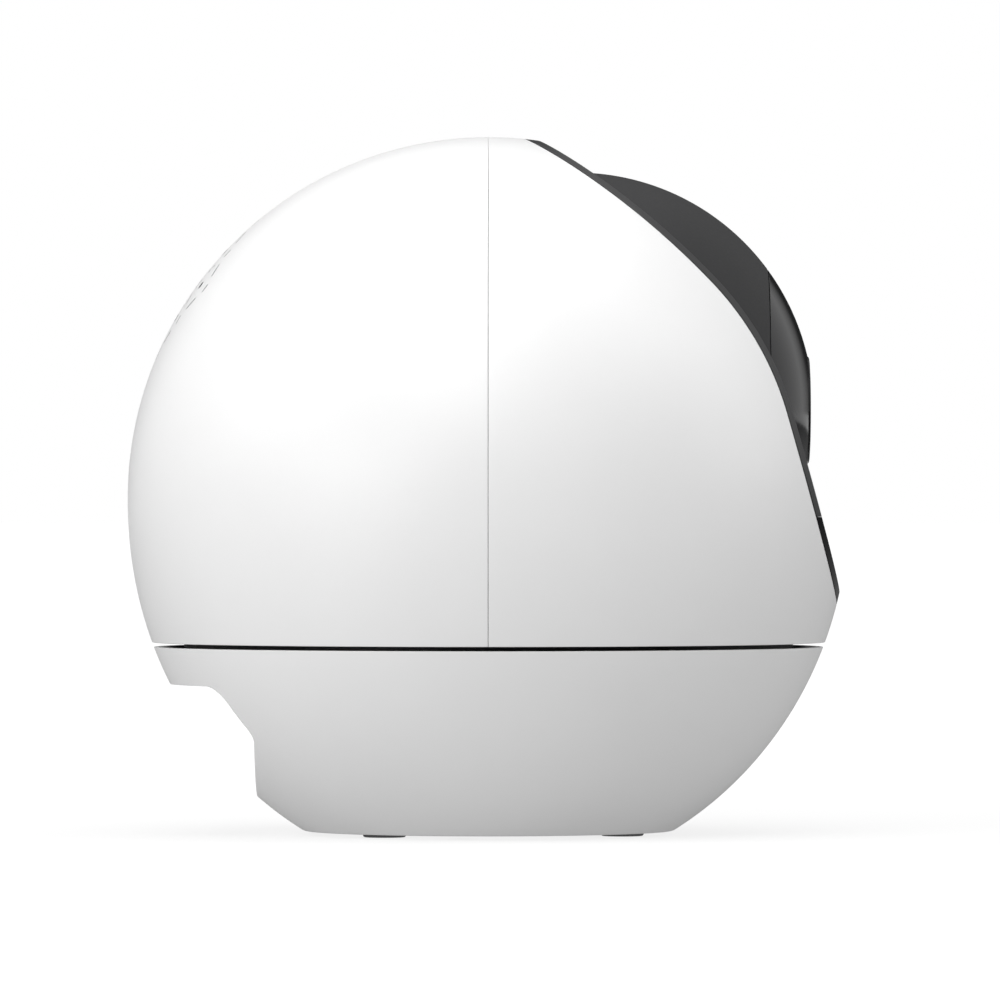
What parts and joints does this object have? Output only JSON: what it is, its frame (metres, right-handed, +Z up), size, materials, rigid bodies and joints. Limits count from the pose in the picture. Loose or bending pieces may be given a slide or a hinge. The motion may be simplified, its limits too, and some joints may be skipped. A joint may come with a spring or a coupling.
{
  "type": "pan-tilt security camera",
  "caption": "Ball-shaped indoor pan-tilt camera: an egg-shaped base, a round head that pans on it and a tilting eyeball with the lens, with drives and electronics inside.",
  "frame": {"origin": "on the pan axis, in the plane that the rubber feet rest on", "axes": "+Z up along the pan axis, +X forward along the lens at rest, +Y to the camera's own left"},
  "size_m": [0.0995, 0.101, 0.0975],
  "materials": {
    "white_shell": "satin moulded ABS with a very fine texture",
    "ball_grey": "matte dark grey moulded plastic",
    "bezel_grey": "satin dark grey moulded plastic",
    "cap_grey": "semi-gloss grey moulded plastic",
    "gloss_black": "polished black infrared-clear plastic",
    "dark_plastic": "black moulded plastic",
    "natural_plastic": "uncoloured acetal",
    "rubber": "matte dark grey rubber",
    "steel": "bright plated steel",
    "circuit_board": "green solder mask on glass fibre",
    "lens_glass": "coated optical glass",
    "clear_plastic": "clear moulded plastic",
    "speaker_paper": "black pressed paper"
  },
  "bodies": {
    "base": {"base_bowl": "white_shell", "base_cover": "white_shell", "rubber_foot_1": "rubber", "rubber_foot_2": "rubber", "rubber_foot_3": "rubber", "rubber_foot_4": "rubber", "cover_screw_1": "steel", "cover_screw_2": "steel", "cover_screw_3": "steel", "pan_post": "natural_plastic", "thrust_washer": "steel", "pan_motor": "steel", "pan_motor_screw_1": "steel", "pan_motor_screw_2": "steel", "input_board": "circuit_board", "input_board_screw_1": "steel", "input_board_screw_2": "steel", "network_jack": "dark_plastic", "power_socket": "steel", "reset_switch": "dark_plastic"},
    "reset": {"reset_button": "dark_plastic"},
    "pan_pinion": {"pan_pinion": "natural_plastic"},
    "head": {"pan_gear": "natural_plastic", "turntable": "dark_plastic", "retaining_clip": "steel", "front_shell": "white_shell", "rear_shell": "white_shell", "head_screw_1": "steel", "head_screw_2": "steel", "head_screw_3": "steel", "head_screw_4": "steel", "face_bezel": "bezel_grey", "face_window": "gloss_black", "indicator_light_pipe": "clear_plastic", "speaker": "steel", "speaker_cone": "speaker_paper", "main_board": "circuit_board", "main_board_screw_1": "steel", "main_board_screw_2": "steel", "shield_can": "steel", "tilt_bracket_left": "dark_plastic", "tilt_bracket_right": "dark_plastic", "tilt_bush_left": "natural_plastic", "tilt_bush_right": "natural_plastic", "tilt_motor": "steel", "tilt_motor_screw_1": "steel", "tilt_motor_screw_2": "steel"},
    "tilt_pinion": {"tilt_pinion": "natural_plastic"},
    "eyeball": {"tilt_gear": "natural_plastic", "ball_rear_shell": "ball_grey", "ball_front_cap": "cap_grey", "infrared_window_upper": "gloss_black", "infrared_window_lower": "gloss_black", "lens_ring": "gloss_black", "lens_barrel": "dark_plastic", "lens_glass": "lens_glass", "sensor_board": "circuit_board", "infrared_board": "circuit_board", "infrared_lamp_upper": "clear_plastic", "infrared_lamp_lower": "clear_plastic"}
  },
  "joints": [
    {"name": "pan", "type": "hinge", "parent": "base", "child": "head", "pos_m": [0, 0, 0.0246], "axis": [0, 0, 1], "range_deg": [-177.5, 177.5]},
    {"name": "tilt", "type": "hinge", "parent": "head", "child": "eyeball", "pos_m": [0.01225, 0, 0.0593], "axis": [0, -1, 0], "range_deg": [-40, 70]},
    {"name": "pan_pinion_spin", "type": "hinge", "parent": "base", "child": "pan_pinion", "pos_m": [0.024, 0, 0.022], "axis": [0, 0, 1], "range_deg": [-710, 710]},
    {"name": "tilt_pinion_spin", "type": "hinge", "parent": "head", "child": "tilt_pinion", "pos_m": [-0.00472, 0.031, 0.04233], "axis": [0, -1, 0], "range_deg": [-280, 160]},
    {"name": "reset_press", "type": "slide", "parent": "base", "child": "reset", "axis": [1, 0, 0], "range_m": [0, 0.0005], "stiffness_N_per_m": 800}
  ],
  "couplings": [
    {"joint": "pan_pinion_spin", "follows": "pan", "ratio": -4},
    {"joint": "tilt_pinion_spin", "follows": "tilt", "ratio": -4}
  ]
}
